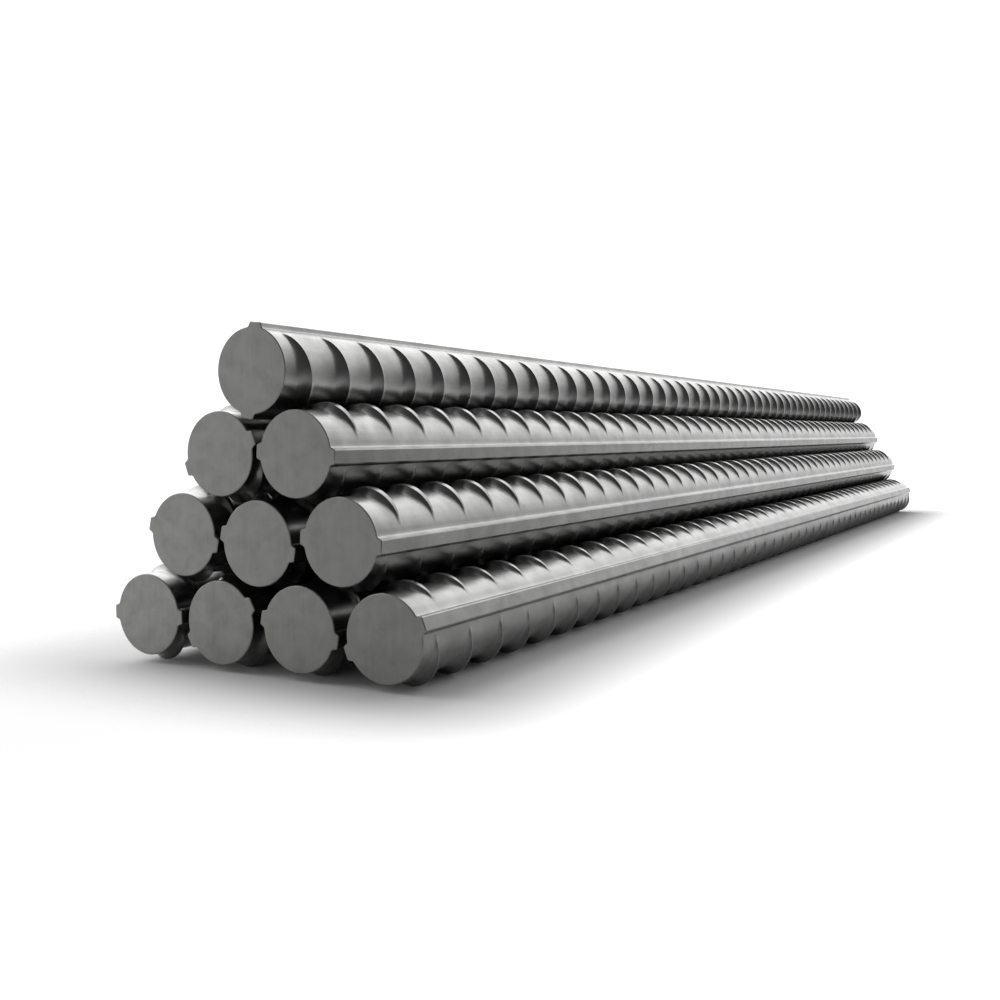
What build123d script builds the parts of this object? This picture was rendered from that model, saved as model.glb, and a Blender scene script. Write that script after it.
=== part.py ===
"""A stack of ten deformed steel reinforcing bars, 32 mm nominal size, cut to one metre and piled 4-3-2-1.

Each bar is one hot-rolled piece: a round core, two long ribs that run the whole length on opposite sides, and
crescent cross ribs between them. A bar bears on its neighbours and on the floor by the crests of its cross
ribs, so from its first cross rib to its last it is drawn at the outline of those crests. At both ends, where
the bar is cut off short of a cross rib, the bare section shows.

X runs along the bars, Z is up, and the origin is on the floor under the middle of the stack. Rows are read from
the -X end: across is to the right there (-Y), and a positive roll turns a bar anticlockwise.
"""

import os
from math import radians, sin, sqrt, tan

from build123d import *

# Driving dimensions, in millimetres and degrees
bar_length = 1000.0
core_diameter = 31.0
long_rib_height = 1.7  # above the core
long_rib_width = 5.0  # across the flat top
long_rib_draft = 15.0  # lean of each side
long_rib_edge = 0.5  # rounding of the top's two edges
cross_rib_height = 3.0  # above the core, at the middle of a crescent
cross_rib_start = 22.0  # where a crescent dies out, as an angle from the middle of a long rib
plain_end = 6.0  # from a cut end to the nearest cross rib
seat_gap = 0.3  # between a bar's crests and those of the two bars that carry it
row_gap = 1.7  # between the long ribs of two bottom bars that face each other

# How far each bar has rolled from lying with its long ribs level, in rows from the floor up
row_rolls = {
    "bottom_bar": (0.0, 28.0, -10.5, 22.0),
    "second_row_bar": (-12.0, -11.0, -3.5),
    "third_row_bar": (20.0, -3.0),
    "top_bar": (82.5,),
}

# A bar's section: the crests on each side of the long ribs are one arc, which meets the core at cross_rib_start
core_radius = core_diameter / 2
long_rib_reach = core_radius + long_rib_height
crest_reach = core_radius + cross_rib_height
crest_offset = (crest_reach**2 - core_radius**2) / (
    2 * (crest_reach - core_radius * sin(radians(cross_rib_start)))
)
crest_radius = crest_reach - crest_offset


def crest_centre(middle, roll, towards):
    """Centre of the crest arc of a bar at middle, on the side that faces the direction towards."""
    crest_axis = Vector(0, 1).rotate(Axis.Z, roll)
    side = 1 if crest_axis.dot(towards) > 0 else -1
    return middle + crest_axis * (side * crest_offset)


def lay_on_floor(across, roll):
    """Middle of a bar that lies on the floor at this place across the stack."""
    lowest_crest = crest_centre(Vector(across, 0), roll, Vector(0, -1))
    return Vector(across, crest_radius - lowest_crest.Y)


def set_down(left, left_roll, right, right_roll, roll):
    """Middle of a bar that is set down on two bars, with its crests a seat gap from theirs."""
    pivots = []
    for carrier, carrier_roll, lean in ((left, left_roll, -1), (right, right_roll, 1)):
        downwards = Vector(lean, -2)
        carrying_arc = crest_centre(carrier, carrier_roll, -downwards)
        carried_arc = crest_centre(Vector(0, 0), roll, downwards)
        pivots.append(carrying_arc - carried_arc)
    half_span = (pivots[1] - pivots[0]) / 2
    reach = 2 * crest_radius + seat_gap
    rise = half_span.rotate(Axis.Z, 90).normalized() * sqrt(reach**2 - half_span.length**2)
    return pivots[0] + half_span + rise


def stack_bars():
    """Name, middle and roll of every bar, row by row from the floor up."""
    row_pitch = 2 * long_rib_reach + row_gap
    below = []
    bars = []
    for row_name, rolls in row_rolls.items():
        row = []
        for place, roll in enumerate(rolls):
            if below:
                middle = set_down(*below[place], *below[place + 1], roll)
            else:
                middle = lay_on_floor((place - (len(rolls) - 1) / 2) * row_pitch, roll)
            row.append((middle, roll))
            name = f"{row_name}_{place + 1}" if len(rolls) > 1 else row_name
            bars.append((name, middle, roll))
        below = row
    return bars


def make_bar(name, middle, roll):
    """One bar: the bare section over its whole length, and the crest arcs between its plain ends."""
    rib_axis = Vector(1, 0).rotate(Axis.Z, roll)
    cut_end = Plane(
        origin=(-bar_length / 2, -middle.X, middle.Y),
        x_dir=(0, -rib_axis.X, rib_axis.Y),
        z_dir=(-1, 0, 0),
    )
    long_rib_root = long_rib_width + 2 * long_rib_reach * tan(radians(long_rib_draft))
    with BuildPart() as bar:
        with BuildSketch(cut_end) as section:
            Circle(core_radius)
            with PolarLocations(0, 2):
                Trapezoid(
                    long_rib_root,
                    long_rib_reach,
                    90 - long_rib_draft,
                    rotation=-90,
                    align=(Align.CENTER, Align.MIN),
                )
            rib_corners = section.vertices().sort_by_distance((0, 0, 0))[-4:]
            fillet(rib_corners, long_rib_edge)
        extrude(amount=-bar_length)
        with BuildSketch(cut_end.offset(-plain_end)):
            with Locations((0, crest_offset), (0, -crest_offset)):
                Circle(crest_radius)
        extrude(amount=2 * plain_end - bar_length)
    bar.part.label = name
    return bar.part


os.makedirs("parts", exist_ok=True)
for bar_name, bar_middle, bar_roll in stack_bars():
    export_step(make_bar(bar_name, bar_middle, bar_roll), f"parts/{bar_name}.step")
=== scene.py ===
"""Ten ribbed steel reinforcing bars in a loose 4-3-2-1 stack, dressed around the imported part, in metres."""

import math

import bmesh
import bpy
from mathutils import Matrix, Vector


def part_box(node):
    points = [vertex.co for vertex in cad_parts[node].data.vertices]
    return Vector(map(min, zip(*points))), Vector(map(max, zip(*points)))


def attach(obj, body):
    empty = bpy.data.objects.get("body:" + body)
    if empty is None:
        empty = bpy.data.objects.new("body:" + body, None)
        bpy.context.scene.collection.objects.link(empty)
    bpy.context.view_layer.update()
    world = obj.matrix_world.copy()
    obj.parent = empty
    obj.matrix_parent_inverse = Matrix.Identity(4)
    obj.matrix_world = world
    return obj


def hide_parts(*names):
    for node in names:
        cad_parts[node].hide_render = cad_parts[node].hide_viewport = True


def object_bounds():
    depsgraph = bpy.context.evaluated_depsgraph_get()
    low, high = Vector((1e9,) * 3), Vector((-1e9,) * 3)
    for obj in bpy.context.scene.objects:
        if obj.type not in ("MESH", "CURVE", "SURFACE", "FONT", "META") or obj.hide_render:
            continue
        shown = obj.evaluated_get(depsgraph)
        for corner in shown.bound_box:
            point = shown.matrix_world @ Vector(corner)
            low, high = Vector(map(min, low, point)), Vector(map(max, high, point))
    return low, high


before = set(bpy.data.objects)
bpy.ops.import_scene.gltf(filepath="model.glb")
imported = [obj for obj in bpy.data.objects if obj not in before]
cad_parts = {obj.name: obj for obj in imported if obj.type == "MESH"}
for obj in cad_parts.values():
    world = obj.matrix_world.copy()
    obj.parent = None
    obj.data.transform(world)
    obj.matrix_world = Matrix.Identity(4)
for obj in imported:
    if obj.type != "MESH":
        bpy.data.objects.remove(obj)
cad_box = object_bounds()

# Bottom row: four hot-rolled steel reinforcing bars side by side on the floor. Every bar of the stack has
# the same section, pressed in one pass between two grooved rolls: a round core, two long ribs where the
# rolls meet, and crescent cross ribs between them. A saw cuts it to length.
core_radius = 0.0155
long_rib_height = 0.0017
long_rib_width = 0.0050  # across the flat top
long_rib_edge = 0.0003  # bevel of the top's two edges
long_rib_fillet = 0.0005  # hollow at the two roots
long_rib_top = 0.8  # share of the height above which a packed corner belongs to the top
cross_rib_height = 0.0030
upper_rib_start = math.radians(29)  # where a crescent dies out on the +Z side, from a long rib's middle
lower_rib_start = math.radians(22)  # the same on the -Z side
rib_pitch = 0.02246
rib_lean = 0.0040  # along the bar for each radian round it, on the -Z side
rib_stagger = 0.0037  # how far the -Z side's ribs stand before those of the +Z side
narrowest_rib = 0.35  # width of a crescent's tip, as a share of its middle
saw_chamfer = 0.0003
long_rib_skin = 0.75  # how open the skin is on the long ribs, where 1 is free of dark scale
scale_and_shade_onset = 0.4  # share of the full height at which a crescent's flanks carry all their darkening: dark scale and painted shade
bar_sides = 60
faces_under_long_rib = 4
spare_pitches = 2  # rolled beyond each cut
square_to_bar = 0.99  # least part of a normal along the bar on a face that closes an end
crease_angle = math.radians(30)
same_place = 1e-6

# A cross rib's section at full size: the place along the bar from the far edge of the rib's land, then the
# height on the +Z side and on the -Z side. Both have a hollow foot, a flank that steepens to a crisp edge,
# a land and a steep far flank, but the two rolls differ: the land is broad on +Z and narrow on -Z.
rib_section = {
    "near_toe": (-0.0064, 0.0, 0.0),
    "near_foot": (-0.0056, 0.00012, 0.0001),
    "near_hollow": (-0.0048, 0.00045, 0.00035),
    "near_flank": (-0.00365, 0.0014, 0.00095),
    "broad_land": (-0.0026, 0.0027, 0.0018),
    "narrow_land": (-0.0012, 0.00286, 0.0030),
    "far_edge": (0.0, 0.0030, 0.00294),
    "far_bevel": (0.00045, 0.00262, 0.00258),
    "far_flank": (0.0021, 0.0004, 0.0004),
    "far_foot": (0.0026, 0.0001, 0.0001),
    "far_toe": (0.0032, 0.0, 0.0),
}

long_rib_reach = core_radius + long_rib_height
crest_reach = core_radius + cross_rib_height
long_rib_root = core_radius * math.sin(math.pi * faces_under_long_rib / bar_sides)


def pick(piece, kind, wanted):
    """Select, in edit mode, only the faces or edges of a piece that are wanted."""
    select_mode = {"faces": "FACE", "edges": "EDGE"}[kind]
    bpy.ops.mesh.select_all(action="DESELECT")
    bpy.ops.mesh.select_mode(type=select_mode)
    mesh = bmesh.from_edit_mesh(piece.data)
    for element in getattr(mesh, kind):
        element.select_set(bool(wanted(element)))
    mesh.select_flush_mode()
    bmesh.update_edit_mesh(piece.data)


def closes_end(face):
    """True for a face that looks along the bar."""
    return abs(face.normal.x) > square_to_bar


def lies_on_rib(edge, reach, least, most):
    """True for an edge along a long rib, at a reach from the axis, least to most from the rib's middle."""
    runs_along = abs(edge.verts[0].co.x - edge.verts[1].co.x) > rib_pitch / 2
    at_reach = all(abs(abs(corner.co.y) - reach) < same_place for corner in edge.verts)
    off_middle = all(least <= abs(corner.co.z) <= most for corner in edge.verts)
    return runs_along and at_reach and off_middle


def bevel_rib(bar, reach, off_middle, size, segments):
    """Bevel the long ribs' edges at one reach from the axis and one distance from the ribs' middles."""
    least, most = off_middle - same_place, off_middle + same_place
    pick(bar, "edges", lambda edge: lies_on_rib(edge, reach, least, most))
    bpy.ops.mesh.bevel(offset=size, segments=segments, affect="EDGES")


def raise_long_ribs(bar):
    """Extrude the two long ribs out of the core, flatten the tops, ease the edges and hollow the roots."""
    root_reach = math.sqrt(core_radius**2 - long_rib_root**2)
    half_top = long_rib_width / 2
    for side in (1, -1):
        pick(bar, "faces", lambda face: side * face.calc_center_median().y > root_reach)
        bpy.ops.mesh.extrude_region_move()
        bpy.ops.transform.resize(
            value=(1, 0, half_top / long_rib_root),
            center_override=(0, side * long_rib_reach, 0),
        )
    pick(bar, "faces", closes_end)
    bpy.ops.mesh.delete(type="ONLY_FACE")
    pick(bar, "edges", lambda edge: lies_on_rib(edge, long_rib_reach, 0, half_top - same_place))
    bpy.ops.mesh.dissolve_edges(use_verts=True)
    bevel_rib(bar, long_rib_reach, half_top, long_rib_edge, segments=1)
    bevel_rib(bar, root_reach, long_rib_root, long_rib_fillet, segments=2)


def section_height(along, upper):
    """Height of a full-size cross rib at a place along the bar, on the +Z or the -Z side."""
    side = 1 if upper else 2
    turns = list(rib_section.values())
    for near, far in zip(turns, turns[1:]):
        if near[0] <= along <= far[0]:
            return near[side] + (far[side] - near[side]) * (along - near[0]) / (far[0] - near[0])
    return 0.0


def flank_scale_and_shade(along, middle, upper):
    """How dark a face's flank is made, as dark scale and painted shade, from 0 at the feet and on the land to
    1 at the edges.
    """
    near_foot = rib_section["near_foot"][0]
    near_edge = rib_section["broad_land" if upper else "narrow_land"][0]
    far_edge = rib_section["far_edge"][0]
    far_foot = rib_section["far_foot"][0]
    if near_foot < middle < near_edge:
        return (along - near_foot) / (near_edge - near_foot)
    if far_edge < middle < far_foot:
        return (along - far_foot) / (far_edge - far_foot)
    return 0.0


def crest_rise(y, z):
    """How far the crest of a cross rib stands above the core, over a point of the bare section."""
    start = core_radius * math.sin(upper_rib_start if z > 0 else lower_rib_start)
    offset = (crest_reach**2 - core_radius**2) / (2 * (crest_reach - start))
    around = math.atan2(abs(z), abs(y))
    past_centre = math.sqrt((crest_reach - offset) ** 2 - (offset * math.cos(around)) ** 2)
    return max(0.0, offset * math.sin(around) + past_centre - core_radius)


def spread_scale_and_flank_shade(mesh):
    """Keep where the rolled skin is open: less on the long ribs, and not on the cross ribs' flanks, which are
    darkened with scale and painted shade.
    """
    skin_and_painted_flank_shade = mesh.loops.layers.float.new("skin_and_painted_flank_shade")
    for face in mesh.faces:
        middle = face.calc_center_median()
        openness = long_rib_skin if abs(middle.y) > core_radius else 1.0
        for loop in face.loops:
            x, y, z = loop.vert.co
            full_scale_and_shade = min(1.0, crest_rise(y, z) / (scale_and_shade_onset * cross_rib_height))
            # The cross ribs' flanks are darkened here: partly dark scale, partly painted shade.
            loop[skin_and_painted_flank_shade] = openness - full_scale_and_shade * flank_scale_and_shade(x, middle.x, middle.z > 0)


def raise_crescents(mesh):
    """Press both sides' cross ribs out, lean the -Z side's, and keep where the crests wear bright."""
    crest_wear = mesh.verts.layers.float.new("crest_wear")
    half_arc = math.pi / 2 - upper_rib_start
    for corner in mesh.verts:
        x, y, z = corner.co
        upper_side = max(-1.0, min(1.0, z / long_rib_root))
        rise = crest_rise(y, z)
        share = section_height(x, z > 0) / cross_rib_height
        corner.co.y = y * (1 + rise * share / core_radius)
        corner.co.z = z * (1 + rise * share / core_radius)
        corner[crest_wear] = share * rise / cross_rib_height
        if abs(x) < rib_pitch / 2 - same_place:
            x *= max(narrowest_rib, rise / cross_rib_height)
        off_middle = max(-half_arc, min(half_arc, math.atan2(-y, abs(z))))
        lean = rib_lean * off_middle * min(0.0, upper_side)
        corner.co.x = x + lean - rib_stagger * (1 - upper_side) / 2


def press_cross_ribs(bar):
    """Cut a ring at each turn of the cross ribs' section, and press the ribs out of the core."""
    for along, _, _ in rib_section.values():
        bpy.ops.mesh.select_all(action="SELECT")
        bpy.ops.mesh.bisect(plane_co=(along, 0, 0), plane_no=(1, 0, 0), threshold=same_place)
    mesh = bmesh.from_edit_mesh(bar.data)
    spread_scale_and_flank_shade(mesh)
    raise_crescents(mesh)
    bmesh.update_edit_mesh(bar.data)


def roll_one_pitch():
    """One rib pitch of bar along X, its long ribs to +Y and -Y, with the +Z side's rib at the origin."""
    bpy.ops.object.select_all(action="DESELECT")
    bpy.ops.mesh.primitive_cylinder_add(
        vertices=bar_sides,
        radius=core_radius,
        depth=rib_pitch,
        end_fill_type="NOTHING",
        rotation=(0, math.pi / 2, 0),
    )
    bar = bpy.context.object
    bpy.ops.object.transform_apply(rotation=True)
    bpy.ops.object.mode_set(mode="EDIT")
    raise_long_ribs(bar)
    press_cross_ribs(bar)
    bpy.ops.object.mode_set(mode="OBJECT")
    bar.name = "one_pitch"
    return bar


def saw_end(bar, cut, outwards):
    """Saw a bar square at a place along it, close the cut and ease the edge round it."""
    chamfer_start = cut - outwards * saw_chamfer
    bpy.ops.mesh.select_all(action="SELECT")
    bpy.ops.mesh.bisect(
        plane_co=(chamfer_start, 0, 0),
        plane_no=(outwards, 0, 0),
        clear_outer=True,
        threshold=same_place,
    )
    pick(bar, "edges", lambda edge: edge.is_boundary and outwards * edge.verts[0].co.x > 0)
    bpy.ops.mesh.edge_face_add()
    bpy.ops.mesh.inset(thickness=saw_chamfer)
    bpy.ops.transform.translate(value=(outwards * saw_chamfer, 0, 0))
    bpy.ops.mesh.poke()
    pick(
        bar,
        "faces",
        lambda face: outwards * (face.calc_center_median().x - chamfer_start) > same_place,
    )
    bar.active_material_index = bar.data.materials.find(cut_steel.name)
    bpy.ops.object.material_slot_assign()


def read_lie(node):
    """A packed bar's axis, its two ends, and how far it has rolled, read from its near cut end."""
    low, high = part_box(node)
    axis = (low + high) / 2
    double_turn = Vector((0, 0))
    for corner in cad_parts[node].data.vertices:
        across, up = axis.y - corner.co.y, corner.co.z - axis.z
        on_rib_top = math.hypot(across, up) > core_radius + long_rib_height * long_rib_top
        if corner.co.x < low.x + saw_chamfer and on_rib_top:
            turn = 2 * math.atan2(up, across)
            double_turn += Vector((math.cos(turn), math.sin(turn)))
    return axis, low.x, high.x, math.atan2(double_turn.y, double_turn.x) / 2


def lay_bar(node, first_crest):
    """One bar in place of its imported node: pitches joined in a row, sawn at both ends and laid down."""
    axis, near_end, far_end, roll = read_lie(node)
    bpy.ops.object.select_all(action="DESELECT")
    bar = one_pitch.copy()
    bar.data = one_pitch.data.copy()
    bar.name = node + "_ribbed"
    bpy.context.scene.collection.objects.link(bar)
    bar.select_set(True)
    bpy.context.view_layer.objects.active = bar
    row = bar.modifiers.new("pitches", "ARRAY")
    row.count = math.ceil((far_end - near_end) / rib_pitch) + 2 * spare_pitches
    row.use_relative_offset = False
    row.use_constant_offset = True
    row.constant_offset_displace = (rib_pitch, 0, 0)
    row.use_merge_vertices = True
    row.merge_threshold = same_place
    bpy.ops.object.modifier_apply(modifier=row.name)
    bar.data.materials.append(rolled_steel)
    bar.data.materials.append(cut_steel)
    bar.data.transform(Matrix.Translation((near_end + first_crest - spare_pitches * rib_pitch, 0, 0)))
    bpy.ops.object.mode_set(mode="EDIT")
    saw_end(bar, near_end, -1)
    saw_end(bar, far_end, 1)
    bpy.ops.object.mode_set(mode="OBJECT")
    bar.data.transform(Matrix.Translation((0, axis.y, axis.z)) @ Matrix.Rotation(-roll, 4, "X"))
    bpy.ops.object.shade_smooth_by_angle(angle=crease_angle)
    bpy.ops.object.mode_set(mode="EDIT")
    pick(bar, "faces", closes_end)
    bpy.ops.mesh.faces_shade_flat()
    bpy.ops.object.mode_set(mode="OBJECT")
    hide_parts(node)
    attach(bar, "root")


def new_node(tree, kind, values=None, **settings):
    """A node in a tree, with its settings and the values of its inputs."""
    node = tree.nodes.new(kind)
    for name, setting in settings.items():
        setattr(node, name, setting)
    for name, value in (values or {}).items():
        node.inputs[name].default_value = value
    return node


def steel_texture_group():
    """Uneven steel as two masks: broad soft patches of mill scale, and the fine grain of the surface."""
    group = bpy.data.node_groups.new("steel_texture", "ShaderNodeTree")
    group.interface.new_socket("Coordinates", in_out="INPUT", socket_type="NodeSocketVector")
    for name in ("Patch Scale", "Grain Scale"):
        group.interface.new_socket(name, in_out="INPUT", socket_type="NodeSocketFloat")
    for name in ("Patches", "Grain"):
        group.interface.new_socket(name, in_out="OUTPUT", socket_type="NodeSocketFloat")
    given = new_node(group, "NodeGroupInput")
    made = new_node(group, "NodeGroupOutput")
    patches = new_node(group, "ShaderNodeTexNoise", {"Detail": 5.0, "Roughness": 0.6, "Distortion": 0.4})
    spread = new_node(group, "ShaderNodeMapRange", {"From Min": 0.32, "From Max": 0.68})
    grain = new_node(group, "ShaderNodeTexNoise", {"Detail": 3.0, "Roughness": 0.7})
    group.links.new(given.outputs["Coordinates"], patches.inputs["Vector"])
    group.links.new(given.outputs["Patch Scale"], patches.inputs["Scale"])
    group.links.new(patches.outputs["Fac"], spread.inputs["Value"])
    group.links.new(given.outputs["Coordinates"], grain.inputs["Vector"])
    group.links.new(given.outputs["Grain Scale"], grain.inputs["Scale"])
    group.links.new(spread.outputs["Result"], made.inputs["Patches"])
    group.links.new(grain.outputs["Fac"], made.inputs["Grain"])
    return group


def new_steel(name, patch_scale, grain_scale):
    """A steel material with its shader, its place on the bar and the steel texture at its own scales."""
    steel = bpy.data.materials.new(name)
    steel.use_nodes = True
    tree = steel.node_tree
    shader = tree.nodes["Principled BSDF"]
    shader.inputs["Metallic"].default_value = 1.0
    place = new_node(tree, "ShaderNodeTexCoord")
    texture = new_node(tree, "ShaderNodeGroup", node_tree=steel_texture)
    texture.inputs["Patch Scale"].default_value = patch_scale
    texture.inputs["Grain Scale"].default_value = grain_scale
    tree.links.new(place.outputs["Object"], texture.inputs["Coordinates"])
    return steel, tree, shader, place, texture


def grey_ramp(tree, mask, shader, darkest, lightest):
    """Colour the shader between two greys by a mask."""
    ramp = new_node(tree, "ShaderNodeValToRGB")
    ramp.color_ramp.elements[0].color = (*darkest, 1)
    ramp.color_ramp.elements[1].color = (*lightest, 1)
    tree.links.new(mask, ramp.inputs["Fac"])
    tree.links.new(ramp.outputs["Color"], shader.inputs["Base Color"])


def roughen(tree, mask, shader, at_none, at_full):
    """Give the shader a roughness between two values by a mask."""
    spread = new_node(tree, "ShaderNodeMapRange", {"To Min": at_none, "To Max": at_full})
    tree.links.new(mask, spread.inputs["Value"])
    tree.links.new(spread.outputs["Result"], shader.inputs["Roughness"])


def blend_masks(tree, first, second, second_share):
    """One mask out of two, the second with its share and the first with the rest."""
    rest = new_node(tree, "ShaderNodeMath", operation="MULTIPLY")
    rest.inputs[1].default_value = 1 - second_share
    blend = new_node(tree, "ShaderNodeMath", operation="MULTIPLY_ADD")
    blend.inputs[1].default_value = second_share
    tree.links.new(first, rest.inputs[0])
    tree.links.new(second, blend.inputs[0])
    tree.links.new(rest.outputs[0], blend.inputs[2])
    return blend.outputs[0]


def stretched_noise(tree, place, stretch):
    """Fine marks drawn out along one axis, as a mask."""
    drawn = new_node(tree, "ShaderNodeMapping", {"Scale": stretch})
    marks = new_node(tree, "ShaderNodeTexNoise", {"Scale": 1.0, "Detail": 3.0})
    tree.links.new(place.outputs["Object"], drawn.inputs["Vector"])
    tree.links.new(drawn.outputs["Vector"], marks.inputs["Vector"])
    return marks.outputs["Fac"]


def raise_grain(tree, height, shader, depth):
    """Bump the shader by a mask, to a depth in metres."""
    bump = new_node(tree, "ShaderNodeBump", {"Strength": 1.0, "Distance": depth})
    tree.links.new(height, bump.inputs["Height"])
    tree.links.new(bump.outputs["Normal"], shader.inputs["Normal"])


def rolled_skin():
    """Satin mill scale in patches drawn out along the bar, bright on the crests, and dark on the flanks from
    scale and painted shade.
    """
    skin, tree, shader, place, texture = new_steel("rolled_steel", patch_scale=90.0, grain_scale=1600.0)
    roll_marks = stretched_noise(tree, place, stretch=(14.0, 420.0, 420.0))
    crest_wear = new_node(tree, "ShaderNodeAttribute", attribute_name="crest_wear")
    skin_and_painted_flank_shade = new_node(tree, "ShaderNodeAttribute", attribute_name="skin_and_painted_flank_shade")
    scale_tone = blend_masks(tree, texture.outputs["Patches"], roll_marks, second_share=0.45)
    worn_tone = blend_masks(tree, crest_wear.outputs["Fac"], scale_tone, second_share=0.8)
    # Darker on the cross ribs' flanks: part dark scale, part painted shade.
    skin_tone_and_flank_shade = blend_masks(tree, worn_tone, skin_and_painted_flank_shade.outputs["Fac"], second_share=0.5)
    grey_ramp(tree, skin_tone_and_flank_shade, shader, darkest=(0.06, 0.06, 0.06), lightest=(0.38, 0.38, 0.375))
    roughen(tree, scale_tone, shader, at_none=0.36, at_full=0.25)
    grain_height = blend_masks(tree, texture.outputs["Grain"], roll_marks, second_share=0.4)
    raise_grain(tree, grain_height, shader, depth=0.00004)
    return skin


def sawn_face():
    """Bare matt steel with the faint upright strokes of the saw."""
    face, tree, shader, place, texture = new_steel("cut_steel", patch_scale=130.0, grain_scale=2200.0)
    saw_strokes = stretched_noise(tree, place, stretch=(0.0, 900.0, 25.0))
    cut_tone = blend_masks(tree, texture.outputs["Patches"], saw_strokes, second_share=0.4)
    grey_ramp(tree, cut_tone, shader, darkest=(0.21, 0.21, 0.206), lightest=(0.32, 0.32, 0.311))
    roughen(tree, cut_tone, shader, at_none=0.50, at_full=0.38)
    stroke_height = blend_masks(tree, texture.outputs["Grain"], saw_strokes, second_share=0.5)
    raise_grain(tree, stroke_height, shader, depth=0.00003)
    return face


steel_texture = steel_texture_group()
rolled_steel = rolled_skin()
cut_steel = sawn_face()
one_pitch = roll_one_pitch()
lay_bar("bottom_bar_1", first_crest=0.0130)
lay_bar("bottom_bar_2", first_crest=0.0150)
lay_bar("bottom_bar_3", first_crest=0.0175)
lay_bar("bottom_bar_4", first_crest=0.0168)

# Second row: three bars of the same rolled steel, each lying in the groove between two bars of the bottom
# row. Nothing ties them: they rest on the crests of the cross ribs below.
lay_bar("second_row_bar_1", first_crest=0.0125)
lay_bar("second_row_bar_2", first_crest=0.0190)
lay_bar("second_row_bar_3", first_crest=0.0162)

# Third row: two more rolled steel bars, loose in the grooves of the second row. One of them has rolled well
# over, and the other has its long ribs nearly level.
lay_bar("third_row_bar_1", first_crest=0.0130)
lay_bar("third_row_bar_2", first_crest=0.0181)

# Top bar: the last rolled steel bar, loose in the groove of the third row and turned so far on its side
# that one of its long ribs is on top.
lay_bar("top_bar", first_crest=0.0163)

bpy.data.objects.remove(one_pitch)

# Floor: a plain, pale and matt studio floor under the stack, which keeps the stack's shadow and fades out
# into the room a little way from the bars.
floor_size = 4.0
fade_width = 0.08
bpy.ops.object.select_all(action="DESELECT")
bpy.ops.mesh.primitive_plane_add(size=floor_size)
floor = bpy.context.object
floor.name = "studio_floor"
pale_floor = bpy.data.materials.new("pale_floor")
pale_floor.use_nodes = True
tree = pale_floor.node_tree
shader = tree.nodes["Principled BSDF"]
shader.inputs["Base Color"].default_value = (0.8, 0.8, 0.8, 1)
shader.inputs["Roughness"].default_value = 0.9
shader.inputs["Specular IOR Level"].default_value = 0.1
place = new_node(tree, "ShaderNodeTexCoord")
either_side = new_node(tree, "ShaderNodeVectorMath", operation="ABSOLUTE")
beyond = new_node(tree, "ShaderNodeVectorMath", operation="SUBTRACT")
beyond.inputs[1].default_value = (cad_box[1].x, cad_box[1].y, 0)
outside = new_node(tree, "ShaderNodeVectorMath", operation="MAXIMUM")
distance = new_node(tree, "ShaderNodeVectorMath", operation="LENGTH")
fade = new_node(
    tree,
    "ShaderNodeMapRange",
    {"From Min": 0.0, "From Max": fade_width, "To Min": 1.0, "To Max": 0.0},
    interpolation_type="SMOOTHSTEP",
)
tree.links.new(place.outputs["Object"], either_side.inputs[0])
tree.links.new(either_side.outputs["Vector"], beyond.inputs[0])
tree.links.new(beyond.outputs["Vector"], outside.inputs[0])
tree.links.new(outside.outputs["Vector"], distance.inputs[0])
tree.links.new(distance.outputs["Value"], fade.inputs["Value"])
tree.links.new(fade.outputs["Result"], shader.inputs["Alpha"])
floor.data.materials.append(pale_floor)

# Studio light: a dim room over pale ground, with soft glows and no lamps. The largest, high beyond the far
# end, weakens near the horizon and overhead. Two are on the left, one low and one high, a small one fills
# the near cut ends, and a pale sweep lies low beyond the far end.
world = bpy.data.worlds.new("studio")
bpy.context.scene.world = world
world.use_nodes = True
sky = world.node_tree
sky_direction = new_node(sky, "ShaderNodeTexCoord").outputs["Generated"]
sky_height = new_node(sky, "ShaderNodeSeparateXYZ")
sky.links.new(sky_direction, sky_height.inputs[0])


def soft_glow(azimuth, elevation, tightness, strength):
    """Light that is strongest in one direction, in degrees, and fades evenly away from it."""
    azimuth, elevation = math.radians(azimuth), math.radians(elevation)
    towards = new_node(sky, "ShaderNodeVectorMath", operation="DOT_PRODUCT")
    towards.inputs[1].default_value = (
        math.cos(azimuth) * math.cos(elevation),
        math.sin(azimuth) * math.cos(elevation),
        math.sin(elevation),
    )
    facing = new_node(sky, "ShaderNodeMath", operation="MAXIMUM")
    facing.inputs[1].default_value = 0.0
    fade = new_node(sky, "ShaderNodeMath", operation="POWER")
    fade.inputs[1].default_value = tightness
    glow = new_node(sky, "ShaderNodeMath", operation="MULTIPLY")
    glow.inputs[1].default_value = strength
    sky.links.new(sky_direction, towards.inputs[0])
    sky.links.new(towards.outputs["Value"], facing.inputs[0])
    sky.links.new(facing.outputs[0], fade.inputs[0])
    sky.links.new(fade.outputs[0], glow.inputs[0])
    return glow.outputs[0]


def by_height(low, high, below, above):
    """A value that changes between two heights, where -1 is underfoot, 0 the horizon and 1 overhead."""
    change = new_node(
        sky,
        "ShaderNodeMapRange",
        {"From Min": low, "From Max": high, "To Min": below, "To Max": above},
        interpolation_type="SMOOTHSTEP",
    )
    sky.links.new(sky_height.outputs["Z"], change.inputs["Value"])
    return change.outputs["Result"]


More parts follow.
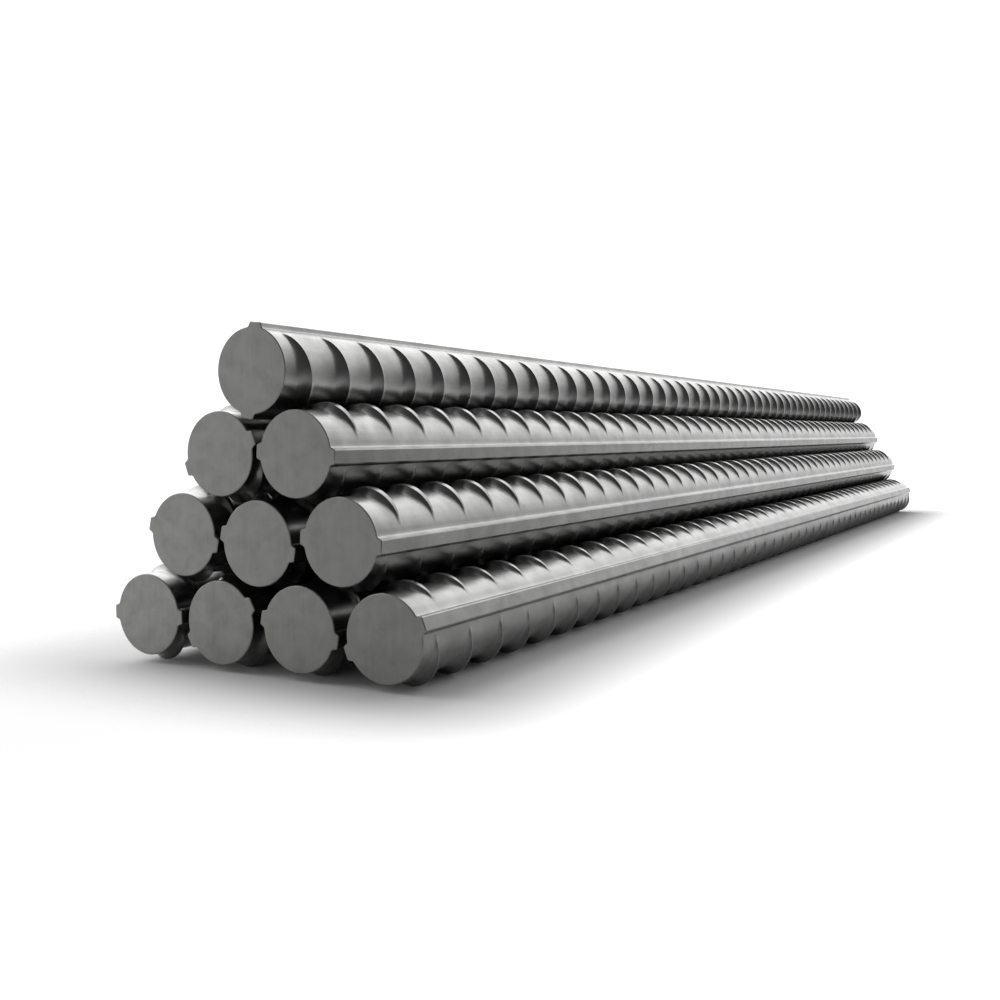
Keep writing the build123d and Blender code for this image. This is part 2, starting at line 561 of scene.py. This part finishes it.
def combine(operation, first, *others):
    """Several lights added, or one light shaded by the values that follow it."""
    result = first
    for other in others:
        both = new_node(sky, "ShaderNodeMath", operation=operation)
        sky.links.new(result, both.inputs[0])
        sky.links.new(other, both.inputs[1])
        result = both.outputs[0]
    return result


far_glow = combine(
    "MULTIPLY",
    soft_glow(azimuth=30, elevation=36, tightness=1.6, strength=2.45),
    by_height(low=0.66, high=0.92, below=1.0, above=0.0),
    by_height(low=0.0, high=0.3, below=0.65, above=1.0),
)
left_glow = soft_glow(azimuth=98, elevation=3, tightness=9.0, strength=3.1)
high_left_glow = soft_glow(azimuth=80, elevation=50, tightness=10.0, strength=1.3)
pale_sweep = soft_glow(azimuth=-8, elevation=-34, tightness=9.0, strength=1.55)
near_fill = soft_glow(azimuth=-172, elevation=5, tightness=14.0, strength=1.0)
dim_room = by_height(low=-0.46, high=-0.16, below=0.66, above=0.14)
all_lights = combine("ADD", far_glow, left_glow, high_left_glow, pale_sweep, near_fill, dim_room)
background = sky.nodes["Background"]
background.inputs["Color"].default_value = (1, 1, 1, 1)
sky.links.new(all_lights, background.inputs["Strength"])

# Camera: low before the near cut ends and to the right of the stack, looking along the bars. Its lens is
# worked out from the focal length in pixels of the picture.
view_yaw = math.radians(28.599)
view_pitch = math.radians(-3.375)
view_roll = math.radians(-0.088)
before_near_end = 0.30865
right_of_middle = 0.26677
above_floor = 0.08688
focal_pixels = 1124.53
picture_pixels = 1000
sensor_width = 36
camera_data = bpy.data.cameras.new("camera")
camera_data.sensor_width = sensor_width
camera_data.lens = sensor_width * focal_pixels / picture_pixels
camera = bpy.data.objects.new("camera", camera_data)
bpy.context.scene.collection.objects.link(camera)
camera.location = (cad_box[0].x - before_near_end, -right_of_middle, above_floor)
camera.rotation_euler = (
    Matrix.Rotation(view_yaw - math.pi / 2, 4, "Z")
    @ Matrix.Rotation(math.pi / 2 + view_pitch, 4, "X")
    @ Matrix.Rotation(view_roll, 4, "Z")
).to_euler()
bpy.context.scene.camera = camera
bpy.context.scene.view_settings.view_transform = "Standard"
